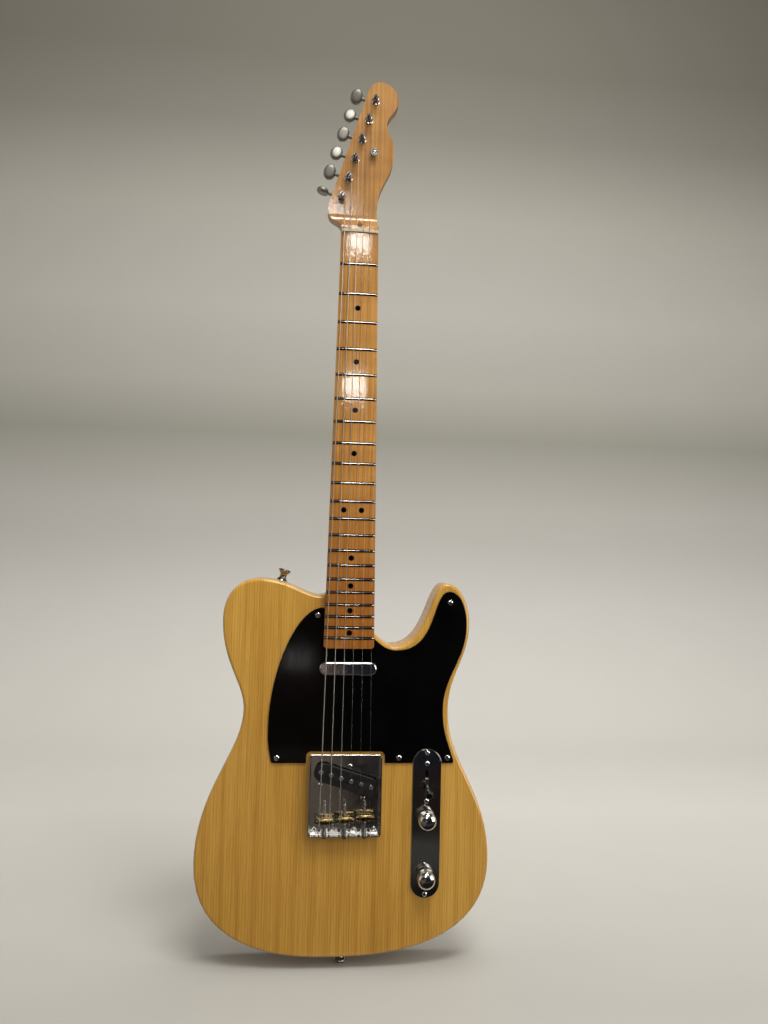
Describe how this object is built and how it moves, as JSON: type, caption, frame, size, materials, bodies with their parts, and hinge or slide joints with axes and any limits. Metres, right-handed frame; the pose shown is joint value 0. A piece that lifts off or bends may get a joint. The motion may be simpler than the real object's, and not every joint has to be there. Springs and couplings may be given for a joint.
{
  "type": "solid-body electric guitar",
  "caption": "Solid-body electric guitar with a single cutaway, bolt-on maple neck, black guard, slanted bridge pickup in a bent tray and in-line tuners along one side of the headstock.",
  "frame": {"origin": "centre of the outer face of the end strap button, on the guitar's centreline and at the body's mid-thickness", "axes": "+Z along the neck towards the headstock, -Y out of the front where the strings are, +X towards the treble side"},
  "size_m": [0.3228, 0.073, 0.9978],
  "materials": {
    "blonde_lacquer": "glossy translucent butterscotch lacquer over straight grain",
    "amber_maple": "glossy amber lacquer over figured maple",
    "walnut": "satin oiled",
    "bone": "smooth satin bone",
    "black_plastic": "glossy black",
    "chrome": "polished chrome plate",
    "nickel": "satin nickel plate",
    "steel": "plain bright steel",
    "brass": "lightly tarnished bare brass",
    "black_fibre": "black fibre and wax"
  },
  "bodies": {
    "instrument": {"body": "blonde_lacquer", "neck": "amber_maple", "nut": "bone", "truss_rod": "steel", "skunk_stripe": "walnut", "pickguard": "black_plastic", "neck_pickup_cover": "chrome", "neck_pickup_coil": "black_fibre", "bridge_plate": "chrome", "bridge_pickup": "black_fibre", "spring_bass": "steel", "spring_middle": "steel", "spring_treble": "steel", "control_plate": "chrome", "switch_frame": "steel", "volume_pot": "steel", "tone_pot": "steel", "jack_cup": "chrome", "jack_socket": "nickel", "neck_plate": "chrome", "end_strap_button": "chrome", "upper_strap_button": "chrome", "string_tree": "nickel", "tuner_housing_6": "nickel", "tuner_housing_5": "nickel", "tuner_housing_4": "nickel", "tuner_housing_3": "nickel", "tuner_housing_2": "nickel", "tuner_housing_1": "nickel", "string_6": "nickel", "string_5": "nickel", "string_4": "nickel", "string_3": "steel", "string_2": "steel", "string_1": "steel"},
    "button_6": {"tuner_button_6": "nickel"},
    "post_6": {"tuner_post_6": "nickel"},
    "button_5": {"tuner_button_5": "nickel"},
    "post_5": {"tuner_post_5": "nickel"},
    "button_4": {"tuner_button_4": "nickel"},
    "post_4": {"tuner_post_4": "nickel"},
    "button_3": {"tuner_button_3": "nickel"},
    "post_3": {"tuner_post_3": "nickel"},
    "button_2": {"tuner_button_2": "nickel"},
    "post_2": {"tuner_post_2": "nickel"},
    "button_1": {"tuner_button_1": "nickel"},
    "post_1": {"tuner_post_1": "nickel"},
    "screw_bass": {"intonation_screw_bass": "steel"},
    "saddle_bass": {"saddle_bass": "brass"},
    "screw_middle": {"intonation_screw_middle": "steel"},
    "saddle_middle": {"saddle_middle": "brass"},
    "screw_treble": {"intonation_screw_treble": "steel"},
    "saddle_treble": {"saddle_treble": "brass"},
    "volume": {"volume_knob": "chrome", "volume_shaft": "steel"},
    "tone": {"tone_knob": "chrome", "tone_shaft": "steel"},
    "selector": {"switch_lever": "steel", "switch_tip": "black_plastic"}
  },
  "joints": [
    {"name": "button_6_turn", "type": "hinge", "parent": "instrument", "child": "button_6", "pos_m": [-0.01892, -0.00363, 0.86554], "axis": [-0.9546, 0, 0.2979], "continuous": true},
    {"name": "post_6_turn", "type": "hinge", "parent": "instrument", "child": "post_6", "pos_m": [-0.0213, -0.02252, 0.8579], "axis": [0, -1, 0], "continuous": true, "deforming": ["string_6"]},
    {"name": "button_5_turn", "type": "hinge", "parent": "instrument", "child": "button_5", "pos_m": [-0.01168, -0.00363, 0.88873], "axis": [-0.9546, 0, 0.2979], "continuous": true},
    {"name": "post_5_turn", "type": "hinge", "parent": "instrument", "child": "post_5", "pos_m": [-0.01406, -0.02252, 0.8811], "axis": [0, -1, 0], "continuous": true, "deforming": ["string_5"]},
    {"name": "button_4_turn", "type": "hinge", "parent": "instrument", "child": "button_4", "pos_m": [-0.00444, -0.00363, 0.91193], "axis": [-0.9546, 0, 0.2979], "continuous": true},
    {"name": "post_4_turn", "type": "hinge", "parent": "instrument", "child": "post_4", "pos_m": [-0.00682, -0.02252, 0.90429], "axis": [0, -1, 0], "continuous": true, "deforming": ["string_4"]},
    {"name": "button_3_turn", "type": "hinge", "parent": "instrument", "child": "button_3", "pos_m": [0.0028, -0.00363, 0.93513], "axis": [-0.9546, 0, 0.2979], "continuous": true},
    {"name": "post_3_turn", "type": "hinge", "parent": "instrument", "child": "post_3", "pos_m": [0.00042, -0.02252, 0.92749], "axis": [0, -1, 0], "continuous": true, "deforming": ["string_3"]},
    {"name": "button_2_turn", "type": "hinge", "parent": "instrument", "child": "button_2", "pos_m": [0.01004, -0.00363, 0.95832], "axis": [-0.9546, 0, 0.2979], "continuous": true},
    {"name": "post_2_turn", "type": "hinge", "parent": "instrument", "child": "post_2", "pos_m": [0.00765, -0.02252, 0.95069], "axis": [0, -1, 0], "continuous": true, "deforming": ["string_2"]},
    {"name": "button_1_turn", "type": "hinge", "parent": "instrument", "child": "button_1", "pos_m": [0.01727, -0.00363, 0.98152], "axis": [-0.9546, 0, 0.2979], "continuous": true},
    {"name": "post_1_turn", "type": "hinge", "parent": "instrument", "child": "post_1", "pos_m": [0.01489, -0.02252, 0.97389], "axis": [0, -1, 0], "continuous": true, "deforming": ["string_1"]},
    {"name": "screw_bass_turn", "type": "hinge", "parent": "instrument", "child": "screw_bass", "pos_m": [-0.0218, -0.02969, 0.1455], "axis": [0, 0, 1], "range_deg": [-1800, 1800]},
    {"name": "saddle_bass_slide", "type": "slide", "parent": "instrument", "child": "saddle_bass", "axis": [0, 0, 1], "range_m": [-0.0039, 0.0039], "deforming": ["spring_bass", "string_6", "string_5"]},
    {"name": "screw_middle_turn", "type": "hinge", "parent": "instrument", "child": "screw_middle", "pos_m": [0, -0.03085, 0.1455], "axis": [0, 0, 1], "range_deg": [-1800, 1800]},
    {"name": "saddle_middle_slide", "type": "slide", "parent": "instrument", "child": "saddle_middle", "axis": [0, 0, 1], "range_m": [-0.0039, 0.0039], "deforming": ["spring_middle", "string_4", "string_3"]},
    {"name": "screw_treble_turn", "type": "hinge", "parent": "instrument", "child": "screw_treble", "pos_m": [0.0218, -0.03011, 0.1455], "axis": [0, 0, 1], "range_deg": [-1800, 1800]},
    {"name": "saddle_treble_slide", "type": "slide", "parent": "instrument", "child": "saddle_treble", "axis": [0, 0, 1], "range_m": [-0.0039, 0.0039], "deforming": ["spring_treble", "string_2", "string_1"]},
    {"name": "volume_turn", "type": "hinge", "parent": "instrument", "child": "volume", "pos_m": [0.0906, -0.02382, 0.1624], "axis": [0, -1, 0], "range_deg": [-150, 150]},
    {"name": "tone_turn", "type": "hinge", "parent": "instrument", "child": "tone", "pos_m": [0.0906, -0.02382, 0.0996], "axis": [0, -1, 0], "range_deg": [-150, 150]},
    {"name": "selector_swing", "type": "hinge", "parent": "instrument", "child": "selector", "pos_m": [0.0906, -0.01172, 0.2014], "axis": [-1, 0, 0], "range_deg": [0, 29]}
  ],
  "couplings": [
    {"joint": "post_6_turn", "follows": "button_6_turn", "ratio": 0.066667},
    {"joint": "post_5_turn", "follows": "button_5_turn", "ratio": 0.066667},
    {"joint": "post_4_turn", "follows": "button_4_turn", "ratio": 0.066667},
    {"joint": "post_3_turn", "follows": "button_3_turn", "ratio": 0.066667},
    {"joint": "post_2_turn", "follows": "button_2_turn", "ratio": 0.066667},
    {"joint": "post_1_turn", "follows": "button_1_turn", "ratio": 0.066667},
    {"joint": "screw_bass_turn", "follows": "saddle_bass_slide", "rad_per_m": -7915.8},
    {"joint": "screw_middle_turn", "follows": "saddle_middle_slide", "rad_per_m": -7915.8},
    {"joint": "screw_treble_turn", "follows": "saddle_treble_slide", "rad_per_m": -7915.8}
  ]
}
